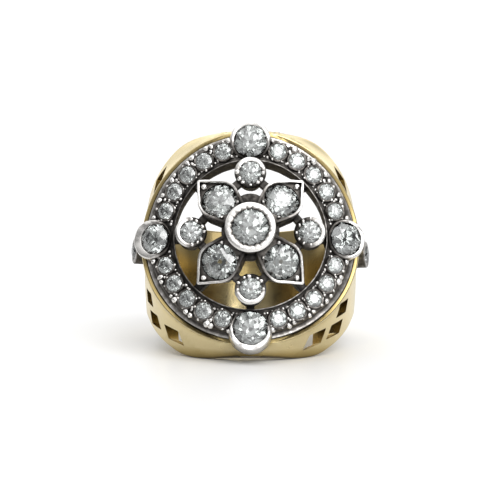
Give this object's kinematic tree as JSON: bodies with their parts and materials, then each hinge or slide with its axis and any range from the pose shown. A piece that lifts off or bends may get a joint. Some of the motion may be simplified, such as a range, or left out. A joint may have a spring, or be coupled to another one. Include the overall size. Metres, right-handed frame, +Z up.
{
  "type": "cluster ring",
  "caption": "Wide pierced gold band lying on its side, with a round openwork silver cluster of old-cut diamonds: a flower of pointed petals inside a beaded border",
  "frame": {"origin": "on the table, under the middle of the ring's box", "axes": "+Z up from the table, the head and its stones face -Y, +X is the ring's east side seen from the head"},
  "size_m": [0.0246, 0.0284, 0.0237],
  "materials": {
    "gold": "polished pale yellow gold",
    "silver": "worn bright on the edges, darkened in the recesses",
    "diamond": "old cut, clear"
  },
  "bodies": {
    "root": {"band": "gold", "cluster": "silver", "side_collet_east": "silver", "side_collet_west": "silver", "centre_stone": "diamond", "petal_stone_1": "diamond", "petal_stone_2": "diamond", "petal_stone_3": "diamond", "petal_stone_4": "diamond", "bezel_stone_1": "diamond", "bezel_stone_2": "diamond", "bezel_stone_3": "diamond", "bezel_stone_4": "diamond", "cardinal_stone_1": "diamond", "cardinal_stone_2": "diamond", "cardinal_stone_3": "diamond", "cardinal_stone_4": "diamond", "border_stone_1": "diamond", "border_stone_2": "diamond", "border_stone_3": "diamond", "border_stone_4": "diamond", "border_stone_5": "diamond", "border_stone_6": "diamond", "border_stone_7": "diamond", "border_stone_8": "diamond", "border_stone_9": "diamond", "border_stone_10": "diamond", "border_stone_11": "diamond", "border_stone_12": "diamond", "border_stone_13": "diamond", "border_stone_14": "diamond", "border_stone_15": "diamond", "border_stone_16": "diamond", "border_stone_17": "diamond", "border_stone_18": "diamond", "border_stone_19": "diamond", "border_stone_20": "diamond", "side_stone_east": "diamond", "side_stone_west": "diamond"}
  },
  "joints": []
}
